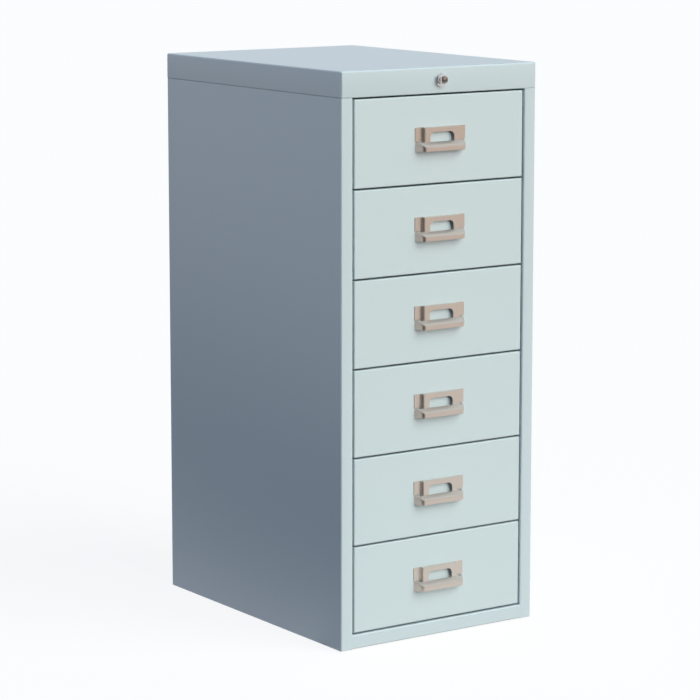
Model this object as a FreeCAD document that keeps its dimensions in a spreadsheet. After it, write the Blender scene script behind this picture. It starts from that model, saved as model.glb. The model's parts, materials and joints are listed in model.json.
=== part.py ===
import FreeCAD, Part
import math
import os
import Sketcher
from types import SimpleNamespace

# A free-standing steel cabinet with six shallow drawers, a cap pressed from sheet over
# the carcass, and one lock in the cap that bars all the drawers at once.
# Frame: +Z is up, the fronts face -Y, +X is on the right as seen from the front.
# The origin is on the floor, under the middle of the whole cabinet with its pulls.
# Lengths are in millimetres, angles in degrees.

sizes = {
    # Cabinet
    "overall_width": 279.0,
    "overall_depth": 380.0,
    "overall_height": 673.0,
    "sheet": 0.9,
    "bend_radius": 1.8,
    "stile_width": 15.5,
    "stile_return": 10.0,
    "rear_flange": 15.5,
    "seam_flange": 11.0,
    "rail_height": 17.0,
    "rail_shelf": 11.0,
    "rail_lip": 6.0,
    "pan_flange": 14.0,
    "panel_play": 0.3,
    # Cap
    "cap_height": 30.5,
    "cap_overhang": 0.5,
    "cap_corner": 3.0,
    "cap_edge": 2.0,
    "cap_lip": 12.0,
    "seam_edge": 0.6,
    # Floor glides
    "glide_stand": 1.5,
    "glide_radius": 10.0,
    "glide_chamfer": 0.6,
    "glide_stem": 2.5,
    "glide_stem_rise": 3.5,
    "glide_barb": 0.6,
    "glide_play": 0.2,
    "glide_inset": 24.0,
    # Drawers
    "drawers": 6,
    "front_gap": 2.0,
    "front_recess": 0.6,
    "front_depth": 12.0,
    "front_bend": 1.4,
    "front_lip": 15.0,
    "tray_depth": 335.0,
    "tray_lift": 8.0,
    "tray_bend": 2.4,
    "tray_rear_drop": 22.0,
    "lip_width": 10.5,
    # Ball slides
    "ball_radius": 2.5,
    "ball_play": 0.1,
    "ball_drop": 13.5,
    "ball_pitch": 20.0,
    "balls_in_cage": 4,
    "track_inset": 4.5,
    "track_gap": 1.8,
    "lip_play": 0.8,
    "cage_sheet": 0.6,
    "cage_length": 70.0,
    "cage_half": 4.0,
    "cage_hole_play": 0.15,
    "runner_sheet": 1.0,
    "runner_start": 1.5,
    "runner_clearance": 1.2,
    "stop_rise": 0.4,
    "buffer_play": 0.3,
    "buffer_thickness": 4.0,
    # Pulls
    "pull_reach": 11.0,
    "pull_sheet": 0.8,
    "pull_rise": 2.5,
    "plate_half": 35.7,
    "plate_top": 13.3,
    "plate_drop": 3.8,
    "plate_corner": 1.2,
    "frame_half": 25.3,
    "frame_stand": 5.0,
    "frame_bend": 1.0,
    "window_half": 17.0,
    "window_band": 5.8,
    "window_corner": 6.0,
    "hood_half": 31.0,
    "hood_drop": 5.8,
    "hood_fall": 2.4,
    "hood_depth": 7.8,
    "hood_corner": 4.0,
    "hood_edge": 2.0,
    "lug_place": 30.5,
    "lug_rise": 4.0,
    "lug_half": 2.0,
    "lug_turn": 4.0,
    "lug_play": 0.2,
    # Lock
    "lock_rise": 15.5,
    "lock_reach": 6.0,
    "bezel_radius": 7.8,
    "bezel_thickness": 1.8,
    "boss_radius": 6.6,
    "boss_round": 1.0,
    "barrel_radius": 5.5,
    "barrel_length": 20.0,
    "hole_play": 0.15,
    "plug_radius": 4.2,
    "plug_recess": 0.6,
    "plug_play": 0.1,
    "plug_tail": 3.0,
    "plug_tail_radius": 5.0,
    "keyway_half": 0.8,
    "keyway_rise": 3.2,
    "keyway_depth": 9.0,
    "nut_flats": 16.0,
    "nut_thickness": 3.0,
    "lock_rail_sheet": 1.2,
    "lock_rail_foot": 22.0,
    "lock_rail_top": 12.0,
    "lock_rail_play": 2.0,
    "rod_radius": 2.5,
    "rod_play": 0.1,
    "bearing_gap": 1.0,
    "bearing_sheet": 1.2,
    "bearing_foot": 18.0,
    "bearing_half": 9.0,
    "bearing_drop": 7.0,
    "cam_radius": 10.0,
    "cam_thickness": 3.0,
    "cam_play": 0.4,
    "crank": 7.0,
    "crank_start": 45.0,
    "pin_radius": 1.5,
    "pin_play": 0.35,
    "pin_end": 1.5,
    # Lock bar with its guides, and the catches on the drawers
    "bar_half": 10.0,
    "bar_sheet": 1.5,
    "bar_place": 13.0,
    "bar_rest": 0.3,
    "bar_head_half": 14.0,
    "bar_head_drop": 18.0,
    "bar_head_rise": 5.0,
    "hook_half": 5.0,
    "hook_play": 1.5,
    "hook_arm_drop": 18.5,
    "hook_arm": 2.0,
    "hook_drop": 10.5,
    "catch_rise": 50.0,
    "catch_reach": 7.5,
    "catch_sheet": 1.5,
    "catch_tip": 8.0,
    "catch_foot": 12.0,
    "catch_half": 7.0,
    "guide_sheet": 1.2,
    "guide_play": 0.3,
    "guide_height": 14.0,
    "guide_rise": 75.0,
}

# How near two points of a solid lie when they count as one place
near = 0.001

os.makedirs("parts", exist_ok=True)
document = FreeCAD.newDocument("DrawerCabinet")
sheet = document.addObject("Spreadsheet::Sheet", "Sizes")
for row, (name, value) in enumerate(sizes.items(), start=1):
    sheet.set("A%d" % row, name)
    sheet.set("B%d" % row, str(value))
    sheet.setAlias("B%d" % row, name)
document.recompute()


class Size:
    """A value together with the spreadsheet expression that gives it."""

    def __init__(self, value, text):
        self.value = value
        self.text = text

    def __add__(self, other):
        return joined(self, "+", other, self.value + number(other))

    def __sub__(self, other):
        return joined(self, "-", other, self.value - number(other))

    def __rsub__(self, other):
        return joined(other, "-", self, other - self.value)

    def __mul__(self, other):
        return joined(self, "*", other, self.value * number(other))

    def __rmul__(self, other):
        return joined(other, "*", self, other * self.value)

    def __truediv__(self, other):
        return joined(self, "/", other, self.value / number(other))

    def __neg__(self):
        return Size(-self.value, "(-1 * %s)" % self.text)


def number(size):
    return size.value if isinstance(size, Size) else size


def words(size):
    return size.text if isinstance(size, Size) else repr(size)


def joined(left, sign, right, value):
    return Size(value, "(%s %s %s)" % (words(left), sign, words(right)))


def root(square):
    return Size(math.sqrt(square.value), "sqrt(%s)" % square.text)


def cosine(angle):
    return Size(math.cos(math.radians(angle.value)), "cos(%s)" % angle.text)


def sine(angle):
    return Size(math.sin(math.radians(angle.value)), "sin(%s)" % angle.text)


d = SimpleNamespace(**{name: Size(value, "Sizes." + name) for name, value in sizes.items()})

# Places worked out from the sizes
half_width = d.overall_width / 2
pull_stand = d.pull_reach - d.front_recess - d.cap_overhang
cap_front = (pull_stand - d.overall_depth) / 2
cap_back = (pull_stand + d.overall_depth) / 2
stile_face = cap_front + d.cap_overhang
body_back = cap_back - d.cap_overhang
body_half = half_width - d.cap_overhang
wall_inside = body_half - d.sheet
back_inside = body_back - 2 * d.sheet
rail_top = d.glide_stand + d.rail_height
floor_top = d.glide_stand + d.sheet
seam = d.overall_height - d.cap_height
ceiling = d.overall_height - d.sheet
stile_inside = body_half - d.stile_width
front_half = stile_inside - d.front_gap
front_height = (seam - rail_top - d.front_gap * (d.drawers + 1)) / d.drawers
drawer_pitch = front_height + d.front_gap
first_drawer = rail_top + d.front_gap
face = stile_face + d.front_recess
pan_back = face + d.front_depth
tray_back = pan_back + d.tray_depth
tray_half = front_half - d.lip_width
ball_level = front_height - d.ball_drop
track = front_half - d.track_inset
groove = d.ball_radius + d.ball_play
lip_under = ball_level + d.track_gap / 2
lip_top = lip_under + d.sheet
flange_top = ball_level - d.track_gap / 2
runner_front = pan_back + d.runner_start
buffer_front = tray_back + d.buffer_play
buffer_back = buffer_front + d.buffer_thickness
runner_back = buffer_back + d.runner_sheet
runner_tip = tray_half + d.runner_clearance
runner_roof = ball_level + groove + d.sheet + d.lip_play
lock_level = seam + d.lock_rise
rail_web_back = cap_front + d.sheet + d.lock_rail_sheet
barrel_back = cap_front + d.barrel_length
bearing_front = tray_back + d.bearing_gap
bearing_back = bearing_front + d.bearing_sheet
cam_front = bearing_back + d.cam_play
cam_back = cam_front + d.cam_thickness
bar_front = tray_back + d.bar_place
bar_back = bar_front + d.bar_sheet
pin_across = d.crank * cosine(d.crank_start)
pin_level = lock_level - d.crank * sine(d.crank_start)
catch_back = tray_back + d.catch_reach
catch_tip_front = catch_back - d.catch_sheet


def bind(thing, place, size):
    thing.setExpression(place, words(size))


def add_body(label):
    body = document.addObject("PartDesign::Body", label)
    body.Label = label
    return body


def origin_of(body, role):
    return next(item for item in body.Origin.OriginFeatures if item.Role == role)


def add_sketch(body, name, plane, level, rise=None):
    """A sketch on the body's own plane, moved to a level along the plane's normal, and up by a rise."""
    sketch = body.newObject("Sketcher::SketchObject", name + "_sketch")
    sketch.AttachmentSupport = [(origin_of(body, plane), "")]
    sketch.MapMode = "FlatFace"
    bind(sketch, ".AttachmentOffset.Base.z", level)
    if rise is not None:
        bind(sketch, ".AttachmentOffset.Base.y", rise)
    return sketch


def fix(sketch, kind, *what):
    """A constraint whose value follows an expression."""
    size = what[-1]
    index = sketch.addConstraint(Sketcher.Constraint(kind, *what[:-1], number(size)))
    bind(sketch, "Constraints[%d]" % index, size)


def fix_point(sketch, geometry, point, across, up):
    fix(sketch, "DistanceX", -1, 1, geometry, point, across)
    fix(sketch, "DistanceY", -1, 1, geometry, point, up)


def add_outline(sketch, corners):
    """A closed outline. A corner is (across, up), and the side that leaves it is straight, or
    (across, up, radius, turn), and the side is an arc that bulges to the left for a turn of 1
    and to the right for a turn of -1."""
    ends = []
    for corner, following in zip(corners, corners[1:] + corners[:1]):
        start = FreeCAD.Vector(number(corner[0]), number(corner[1]), 0)
        stop = FreeCAD.Vector(number(following[0]), number(following[1]), 0)
        if len(corner) == 2:
            ends.append((sketch.addGeometry(Part.LineSegment(start, stop)), 1, 2))
            continue
        radius, turn = corner[2:]
        chord = stop - start
        bulge = FreeCAD.Vector(-chord.y, chord.x, 0).normalize() * turn
        depth = math.sqrt(number(radius) ** 2 - chord.Length ** 2 / 4)
        centre = (start + stop) / 2 - bulge * depth
        circle = Part.Circle(centre, FreeCAD.Vector(0, 0, 1), number(radius))
        first, last = (stop, start) if turn > 0 else (start, stop)
        arc = Part.ArcOfCircle(circle, circle.parameter(first), circle.parameter(last))
        geometry = sketch.addGeometry(arc)
        fix(sketch, "Radius", geometry, radius)
        ends.append((geometry, 2, 1) if turn > 0 else (geometry, 1, 2))
    for corner, end, after in zip(corners, ends, ends[1:] + ends[:1]):
        sketch.addConstraint(Sketcher.Constraint("Coincident", end[0], end[2], after[0], after[1]))
        fix_point(sketch, end[0], end[1], corner[0], corner[1])


def add_rectangle(sketch, left, bottom, right, top):
    add_outline(sketch, [(left, bottom), (right, bottom), (right, top), (left, top)])


def add_rounded_rectangle(sketch, left, bottom, right, top, radius):
    add_outline(sketch, [
        (left + radius, bottom), (right - radius, bottom, radius, -1),
        (right, bottom + radius), (right, top - radius, radius, -1),
        (right - radius, top), (left + radius, top, radius, -1),
        (left, top - radius), (left, bottom + radius, radius, -1),
    ])


def add_circle(sketch, across, up, radius):
    centre = FreeCAD.Vector(number(across), number(up), 0)
    circle = sketch.addGeometry(Part.Circle(centre, FreeCAD.Vector(0, 0, 1), number(radius)))
    fix_point(sketch, circle, 3, across, up)
    fix(sketch, "Radius", circle, radius)


def set_tip(body, feature):
    body.Tip = feature
    document.recompute()
    return feature


def pad(body, name, plane, low, high, draw):
    """A pad between two levels along the plane's own axis."""
    sketch = add_sketch(body, name, plane, -high if plane == "XZ_Plane" else low)
    draw(sketch)
    feature = body.newObject("PartDesign::Pad", name)
    feature.Profile = sketch
    bind(feature, "Length", high - low)
    return set_tip(body, feature)


def pocket(body, name, plane, low, high, draw):
    """A pocket between two levels along the plane's own axis."""
    sketch = add_sketch(body, name, plane, -low if plane == "XZ_Plane" else high)
    draw(sketch)
    feature = body.newObject("PartDesign::Pocket", name)
    feature.Profile = sketch
    bind(feature, "Length", high - low)
    return set_tip(body, feature)


def revolve(body, name, level, corners):
    """A turned form about a line along Y at a level. Corners are (along Y, radius)."""
    sketch = add_sketch(body, name, "YZ_Plane", 0, level)
    add_outline(sketch, corners)
    feature = body.newObject("PartDesign::Revolution", name)
    feature.Profile = sketch
    feature.ReferenceAxis = (sketch, ["H_Axis"])
    feature.Angle = 360
    return set_tip(body, feature)


def edges_along(feature, axis, places):
    """Names of the straight edges along an axis that pass through places in the plane square to it."""
    others = [index for index in range(3) if index != "XYZ".index(axis)]
    found = []
    for index, edge in enumerate(feature.Shape.Edges, start=1):
        ends = [vertex.Point for vertex in edge.Vertexes]
        if len(ends) != 2 or not isinstance(edge.Curve, Part.Line):
            continue
        for place in places:
            if all(abs(end[o] - number(p)) < near for end in ends for o, p in zip(others, place)):
                found.append("Edge%d" % index)
    return found


def edges_level(feature, axis, level):
    """Names of the edges that lie wholly in the plane at a level along an axis."""
    return lying_level(feature.Shape.Edges, "Edge", axis, level)


def faces_level(feature, axis, level):
    """Names of the faces that lie wholly in the plane at a level along an axis."""
    return lying_level(feature.Shape.Faces, "Face", axis, level)


def lying_level(pieces, kind, axis, level):
    index = "XYZ".index(axis)
    found = []
    for place, piece in enumerate(pieces, start=1):
        box = piece.BoundBox
        low = (box.XMin, box.YMin, box.ZMin)[index]
        high = (box.XMax, box.YMax, box.ZMax)[index]
        if abs(low - number(level)) < near and abs(high - number(level)) < near:
            found.append("%s%d" % (kind, place))
    return found


def fillet(body, name, edges, radius):
    base = body.Tip
    feature = body.newObject("PartDesign::Fillet", name)
    feature.Base = (base, edges)
    bind(feature, "Radius", radius)
    return set_tip(body, feature)


def shell(body, name, open_faces, wall):
    """A shell of the solid so far, with its outside kept and some faces left open."""
    base = body.Tip
    feature = body.newObject("PartDesign::Thickness", name)
    feature.Base = (base, open_faces)
    feature.Reversed = True
    bind(feature, "Value", wall)
    return set_tip(body, feature)


def chamfer(body, name, edges, size):
    base = body.Tip
    feature = body.newObject("PartDesign::Chamfer", name)
    feature.Base = (base, edges)
    bind(feature, "Size", size)
    return set_tip(body, feature)


def repeat_up(body, name, features, spacing, count):
    """Copies of features, one spacing above the other along Z."""
    feature = body.newObject("PartDesign::LinearPattern", name)
    feature.Originals = features
    feature.Direction = (origin_of(body, "Z_Axis"), [""])
    bind(feature, "Length", spacing * (count - 1))
    bind(feature, "Occurrences", count)
    return set_tip(body, feature)


def side_panel(name, side):
    """One folded side: stile, wall and rear flange in one bent sheet, with a flange turned in at the seam."""
    body = add_body(name)

    def plan(sketch):
        add_outline(sketch, [
            (side * stile_inside, stile_face + d.stile_return),
            (side * stile_inside, stile_face),
            (side * body_half, stile_face),
            (side * body_half, body_back),
            (side * (body_half - d.rear_flange), body_back),
            (side * (body_half - d.rear_flange), body_back - d.sheet),
            (side * wall_inside, body_back - d.sheet),
            (side * wall_inside, stile_face + d.sheet),
            (side * (stile_inside + d.sheet), stile_face + d.sheet),
            (side * (stile_inside + d.sheet), stile_face + d.stile_return),
        ])

    wall = pad(body, name + "_wall", "XY_Plane", d.glide_stand, seam, plan)
    outer = [(side * stile_inside, stile_face), (side * body_half, stile_face), (side * body_half, body_back)]
    inner = [(side * wall_inside, body_back - d.sheet), (side * wall_inside, stile_face + d.sheet),
             (side * (stile_inside + d.sheet), stile_face + d.sheet)]
    bends = fillet(body, name + "_bends", edges_along(wall, "Z", outer), d.bend_radius)
    fillet(body, name + "_inner_bends", edges_along(bends, "Z", inner), d.bend_radius - d.sheet)

    def flange(sketch):
        edge = body_half - d.bend_radius
        inset = body_half - d.seam_flange
        add_rectangle(sketch, side * edge, stile_face + d.stile_return, side * inset, back_inside)

    def shoulder(sketch):
        add_outline(sketch, [
            (side * (body_half - d.bend_radius), seam),
            (side * (body_half - d.bend_radius), seam - d.sheet),
            (side * wall_inside, seam - d.sheet),
            (side * wall_inside, seam),
        ])

    pad(body, name + "_flange", "XY_Plane", seam - d.sheet, seam, flange)
    pad(body, name + "_shoulder", "XZ_Plane", stile_face + d.stile_return, back_inside, shoulder)
    return body


def back_panel():
    """The flat back, held behind the rear flanges of both sides."""
    body = add_body("back_panel")
    half = wall_inside - (d.bend_radius - d.sheet) - d.panel_play

    def plan(sketch):
        add_rectangle(sketch, -half, floor_top, half, seam)

    pad(body, "back_sheet", "XZ_Plane", back_inside, body_back - d.sheet, plan)
    return body


def base_pan():
    """The floor of the carcass with its upturned flanges, and the front rail folded from the same sheet."""
    body = add_body("base_pan")
    shelf = stile_face + d.rail_shelf

    def rail(sketch):
        add_outline(sketch, [
            (stile_face, d.glide_stand),
            (stile_face, rail_top),
            (shelf, rail_top),
            (shelf, rail_top - d.rail_lip),
            (shelf - d.sheet, rail_top - d.rail_lip),
            (shelf - d.sheet, rail_top - d.sheet),
            (stile_face + d.sheet, rail_top - d.sheet),
            (stile_face + d.sheet, floor_top),
            (back_inside, floor_top),
            (back_inside, d.glide_stand),
        ])

    folded = pad(body, "rail_and_floor", "YZ_Plane", -stile_inside, stile_inside, rail)
    corners = [(stile_face, rail_top), (shelf, rail_top), (stile_face, d.glide_stand)]
    fillet(body, "rail_bends", edges_along(folded, "X", corners), d.bend_radius)

    def wing(side):
        def plan(sketch):
            edges = (side * stile_inside, side * wall_inside)
            add_rectangle(sketch, edges[0], stile_face + d.stile_return, edges[1], back_inside)
        return plan

    def upturn(side):
        def plan(sketch):
            add_rectangle(sketch, side * (wall_inside - d.sheet), stile_face + d.stile_return,
                          side * wall_inside, back_inside)
        return plan

    for side, hand in ((-1, "left"), (1, "right")):
        pad(body, "floor_" + hand, "XY_Plane", d.glide_stand, floor_top, wing(side))
        pad(body, "upturn_" + hand, "XY_Plane", d.glide_stand, d.glide_stand + d.pan_flange, upturn(side))

    def rear(sketch):
        add_rectangle(sketch, -wall_inside, back_inside - d.sheet, wall_inside, back_inside)

    def holes(sketch):
        for across, along in glide_places():
            add_circle(sketch, across, along, d.glide_stem + d.glide_play)

    pad(body, "upturn_rear", "XY_Plane", d.glide_stand, d.glide_stand + d.pan_flange, rear)
    pocket(body, "glide_holes", "XY_Plane", d.glide_stand, floor_top, holes)
    return body


def glide_places():
    across = body_half - d.glide_inset
    ends = (stile_face + d.glide_inset, body_back - d.glide_inset)
    return [(side * across, along) for side in (-1, 1) for along in ends]


def foot_glides():
    """Four push-in glides: a disc on the floor and a barbed stem through the pan."""
    body = add_body("foot_glides")
    barb_level = floor_top + d.glide_play

    def discs(sketch):
        for across, along in glide_places():
            add_circle(sketch, across, along, d.glide_radius)

    def stems(sketch):
        for across, along in glide_places():
            add_circle(sketch, across, along, d.glide_stem)

    def barbs(sketch):
        for across, along in glide_places():
            add_circle(sketch, across, along, d.glide_stem + d.glide_barb)

    disc = pad(body, "glide_discs", "XY_Plane", 0, d.glide_stand, discs)
    chamfer(body, "glide_chamfers", edges_level(disc, "Z", 0), d.glide_chamfer)
    pad(body, "glide_stems", "XY_Plane", d.glide_stand, barb_level, stems)
    pad(body, "glide_barbs", "XY_Plane", barb_level, d.glide_stand + d.glide_stem_rise, barbs)
    return body


def top_cap():
    """The cap: one pressing with rounded edges, and a lip turned in under its skirt."""
    body = add_body("top_cap")

    def plan(inset):
        def draw(sketch):
            add_rectangle(sketch, inset - half_width, cap_front + inset, half_width - inset, cap_back - inset)
        return draw

    def lip(sketch):
        inset = d.sheet / 2
        half = half_width - inset
        add_rounded_rectangle(sketch, -half, cap_front + inset, half, cap_back - inset, d.cap_corner - inset)

    corners = [(side * half_width, along) for side in (-1, 1) for along in (cap_front, cap_back)]
    block = pad(body, "cap_block", "XY_Plane", seam, d.overall_height, plan(0))
    rounded = fillet(body, "cap_corners", edges_along(block, "Z", corners), d.cap_corner)
    full = fillet(body, "cap_top_edge", edges_level(rounded, "Z", d.overall_height), d.cap_edge)
    shell(body, "cap_shell", faces_level(full, "Z", seam), d.sheet)
    closed = pad(body, "cap_lip", "XY_Plane", seam, seam + d.sheet, lip)
    fillet(body, "cap_seam_edge", edges_level(closed, "Z", seam), d.seam_edge)
    pocket(body, "cap_window", "XY_Plane", seam, seam + d.sheet, plan(d.cap_lip))

    def hole(sketch):
        add_circle(sketch, 0, lock_level, d.barrel_radius + d.hole_play)

    pocket(body, "cap_lock_hole", "XZ_Plane", cap_front, cap_front + d.sheet, hole)
    return body


def lock_rail():
    """A folded rail behind the cap's front, which stiffens it where the lock is held."""
    body = add_body("lock_rail")
    half = half_width - d.cap_corner - d.lock_rail_play
    front = cap_front + d.sheet
    low = seam + d.sheet
    high = ceiling - d.lock_rail_play
    thick = d.lock_rail_sheet
    foot = front + d.lock_rail_foot
    fold = front + d.lock_rail_top

    def section(sketch):
        add_outline(sketch, [
            (front, low), (front, high), (fold, high), (fold, high - thick), (front + thick, high - thick),
            (front + thick, low + thick), (foot, low + thick), (foot, low),
        ])

    def hole(sketch):
        add_circle(sketch, 0, lock_level, d.barrel_radius + d.hole_play)

    pad(body, "lock_rail_section", "YZ_Plane", -half, half, section)
    pocket(body, "lock_rail_hole", "XZ_Plane", front, front + thick, hole)
    return body


def lock_housing():
    """The turned lock case: a bezel on the cap's front, a domed boss, and a barrel through both walls."""
    body = add_body("lock_housing")
    bore = d.plug_radius + d.plug_play
    tip = cap_front - d.lock_reach
    revolve(body, "lock_case", lock_level, [
        (tip, bore),
        (tip, d.boss_radius - d.boss_round, d.boss_round, 1),
        (tip + d.boss_round, d.boss_radius),
        (cap_front - d.bezel_thickness, d.boss_radius),
        (cap_front - d.bezel_thickness / 2, d.bezel_radius),
        (cap_front, d.bezel_radius),
        (cap_front, d.barrel_radius),
        (barrel_back, d.barrel_radius),
        (barrel_back, bore),
    ])
    return body


def lock_nut():
    """The hexagon nut that clamps the lock to the rail."""
    body = add_body("lock_nut")
    reach = d.nut_flats / (2 * math.cos(math.pi / 6))

    def section(sketch):
        turns = [math.pi / 3 * index for index in range(6)]
        add_outline(sketch, [(reach * math.cos(turn), lock_level + reach * math.sin(turn)) for turn in turns])
        add_circle(sketch, 0, lock_level, d.barrel_radius + d.hole_play)

    pad(body, "lock_nut_ring", "XZ_Plane", rail_web_back, rail_web_back + d.nut_thickness, section)
    return body


def lock_plug():
    """The keyed plug that turns in the case, with the keyway in its face and a tail for the rod."""
    body = add_body("lock_plug")
    front = cap_front - d.lock_reach + d.plug_recess

    def disc(radius):
        def draw(sketch):
            add_circle(sketch, 0, lock_level, radius)
        return draw

    def keyway(sketch):
        add_rectangle(sketch, -d.keyway_half, lock_level - d.keyway_rise,
                      d.keyway_half, lock_level + d.keyway_rise)

    pad(body, "plug_round", "XZ_Plane", front, barrel_back, disc(d.plug_radius))
    pad(body, "plug_tail", "XZ_Plane", barrel_back, barrel_back + d.plug_tail, disc(d.plug_tail_radius))
    pocket(body, "plug_keyway", "XZ_Plane", front, front + d.keyway_depth, keyway)
    return body


def lock_rod():
    """The rod that carries the turn of the plug to the back of the cabinet."""
    body = add_body("lock_rod")

    def disc(sketch):
        add_circle(sketch, 0, lock_level, d.rod_radius)

    pad(body, "rod_round", "XZ_Plane", barrel_back + d.plug_tail, cam_front, disc)
    return body


def lock_cam():
    """The crank on the back end of the rod, with the pin that lifts the bar."""
    body = add_body("lock_cam")

    def disc(sketch):
        add_circle(sketch, 0, lock_level, d.cam_radius)

    def pin(sketch):
        add_circle(sketch, pin_across, pin_level, d.pin_radius)

    pad(body, "cam_disc", "XZ_Plane", cam_front, cam_back, disc)
    pad(body, "cam_pin", "XZ_Plane", cam_back, bar_back + d.pin_end, pin)
    return body


def rod_bearing():
    """A bent bracket under the cap that carries the back end of the rod."""
    body = add_body("rod_bearing")
    thick = d.bearing_sheet
    low = lock_level - d.bearing_drop

    def section(sketch):
        add_outline(sketch, [
            (bearing_back, low), (bearing_back, ceiling), (bearing_back - d.bearing_foot, ceiling),
            (bearing_back - d.bearing_foot, ceiling - thick), (bearing_front, ceiling - thick),
            (bearing_front, low),
        ])

    def hole(sketch):
        add_circle(sketch, 0, lock_level, d.rod_radius + d.rod_play)

    pad(body, "bearing_bracket", "YZ_Plane", -d.bearing_half, d.bearing_half, section)
    pocket(body, "bearing_hole", "XZ_Plane", bearing_front, bearing_back, hole)
    return body


def lock_bar():
    """The bar that the cam lifts: a strip, a wider head with a cross slot, and a hook for each drawer."""
    body = add_body("lock_bar")
    slot = d.pin_radius + d.pin_play
    finger_front = catch_tip_front - d.hook_play - d.hook_arm
    catch_level = first_drawer + d.catch_rise
    arm_top = catch_level - d.hook_arm_drop
    finger_top = catch_level - d.hook_drop

    def strip(sketch):
        add_outline(sketch, [
            (-d.bar_half, floor_top + d.bar_rest),
            (d.bar_half, floor_top + d.bar_rest),
            (d.bar_half, seam - d.bar_head_drop),
            (d.bar_head_half, seam - d.bar_head_drop + d.bar_head_half - d.bar_half),
            (d.bar_head_half, pin_level + d.bar_head_rise),
            (-d.bar_head_half, pin_level + d.bar_head_rise),
            (-d.bar_head_half, seam - d.bar_head_drop + d.bar_head_half - d.bar_half),
            (-d.bar_half, seam - d.bar_head_drop),
        ])

    def cross_slot(sketch):
        add_rectangle(sketch, pin_across - slot, pin_level - slot, d.crank + slot, pin_level + slot)

    def hook(sketch):
        add_outline(sketch, [
            (bar_front, arm_top - d.hook_arm), (bar_front, arm_top),
            (finger_front + d.hook_arm, arm_top), (finger_front + d.hook_arm, finger_top),
            (finger_front, finger_top), (finger_front, arm_top - d.hook_arm),
        ])

    pad(body, "bar_strip", "XZ_Plane", bar_front, bar_back, strip)
    pocket(body, "bar_slot", "XZ_Plane", bar_front, bar_back, cross_slot)
    first = pad(body, "bar_hook", "YZ_Plane", -d.hook_half, d.hook_half, hook)
    repeat_up(body, "bar_hooks", [first], drawer_pitch, d.drawers)
    return body


def bar_guides():
    """Three straps on the back panel that the bar slides through."""
    body = add_body("bar_guides")
    half = d.bar_half + d.guide_play
    strap_front = bar_front - d.guide_play
    strap_back = bar_back + d.guide_play
    low = first_drawer + d.guide_rise
    high = low + d.guide_height

    def outer(sketch):
        add_rectangle(sketch, -half - d.guide_sheet, strap_front - d.guide_sheet,
                      half + d.guide_sheet, back_inside)
        add_rectangle(sketch, -half, strap_front, half, strap_back)
        add_rectangle(sketch, -half, strap_back + d.guide_sheet, half, back_inside - d.guide_sheet)

    strap = pad(body, "guide_strap", "XY_Plane", low, high, outer)
    repeat_up(body, "guide_straps", [strap], drawer_pitch * 2, d.drawers / 2)
    return body


def runners(name, side):
    """Six rolled runners on one side wall. The lower flange has the half-round track for the balls, a tab
    that stops the cage at the front, and a tab behind that backs the buffer."""
    body = add_body(name)
    thin = d.runner_sheet
    top = first_drawer + flange_top
    stop_top = first_drawer + ball_level + d.stop_rise
    roof = first_drawer + runner_roof
    offset = d.track_gap / 2
    inner = root(groove * groove - offset * offset)
    outer = root((groove + thin) * (groove + thin) - (offset + thin) * (offset + thin))

    def section(sketch):
        add_outline(sketch, [
            (side * wall_inside, top - thin), (side * wall_inside, roof + thin),
            (side * runner_tip, roof + thin), (side * runner_tip, roof),
            (side * (wall_inside - thin), roof), (side * (wall_inside - thin), top),
            (side * (track + inner), top, groove, side),
            (side * (track - inner), top), (side * runner_tip, top), (side * runner_tip, top - thin),
            (side * (track - outer), top - thin, groove + thin, -side),
            (side * (track + outer), top - thin),
        ])

    def tab(tip):
        def draw(sketch):
            add_rectangle(sketch, side * (track - d.cage_half), top, side * (track + d.cage_half), tip)
        return draw

    first = [
        pad(body, name + "_section", "XZ_Plane", runner_front, runner_back, section),
        pad(body, name + "_front_tab", "XZ_Plane", runner_front, runner_front + thin, tab(stop_top)),
        pad(body, name + "_rear_tab", "XZ_Plane", buffer_back, runner_back, tab(roof)),
    ]
    repeat_up(body, name + "_rows", first, drawer_pitch, d.drawers)
    return body


def rear_buffers():
    """Rubber blocks on the rear tabs of the runners, which the closing drawers meet."""
    body = add_body("rear_buffers")
    top = first_drawer + flange_top + d.buffer_play
    roof = first_drawer + runner_roof - d.buffer_play
    half = d.cage_half - d.buffer_play

    def blocks(sketch):
        for side in (-1, 1):
            add_rectangle(sketch, side * track - half, top, side * track + half, roof)

    first = pad(body, "buffer_pair", "XZ_Plane", buffer_front, buffer_back, blocks)
    repeat_up(body, "buffer_rows", [first], drawer_pitch, d.drawers)
    return body


def set_on_drawer(body, index):
    """The drawers' pieces are drawn with Z from the lower edge of the front, and placed one pitch apart."""
    bind(body, ".Placement.Base.z", first_drawer + drawer_pitch * index)


def drawer_front(name):
    """The front: a pan with folded returns and a lip turned in behind, slotted for the pull's lugs."""
    body = add_body(name)

    def plan(inset):
        def draw(sketch):
            add_rectangle(sketch, inset - front_half, inset, front_half - inset, front_height - inset)
        return draw

    block = pad(body, name + "_block", "XZ_Plane", face, pan_back, plan(0))
    fillet(body, name + "_bends", edges_level(block, "Y", face), d.front_bend)
    pocket(body, name + "_hollow", "XZ_Plane", face + d.sheet, pan_back - d.sheet, plan(d.sheet))
    pocket(body, name + "_window", "XZ_Plane", pan_back - d.sheet, pan_back, plan(d.front_lip))

    def slots(sketch):
        level = front_height / 2 + d.pull_rise + d.lug_rise
        tall = d.pull_sheet / 2 + d.lug_play
        wide = d.lug_half + d.lug_play
        for side in (-1, 1):
            place = side * d.lug_place
            add_rectangle(sketch, place - wide, level - tall, place + wide, level + tall)

    pocket(body, name + "_slots", "XZ_Plane", face, face + d.sheet, slots)
    return body


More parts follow.
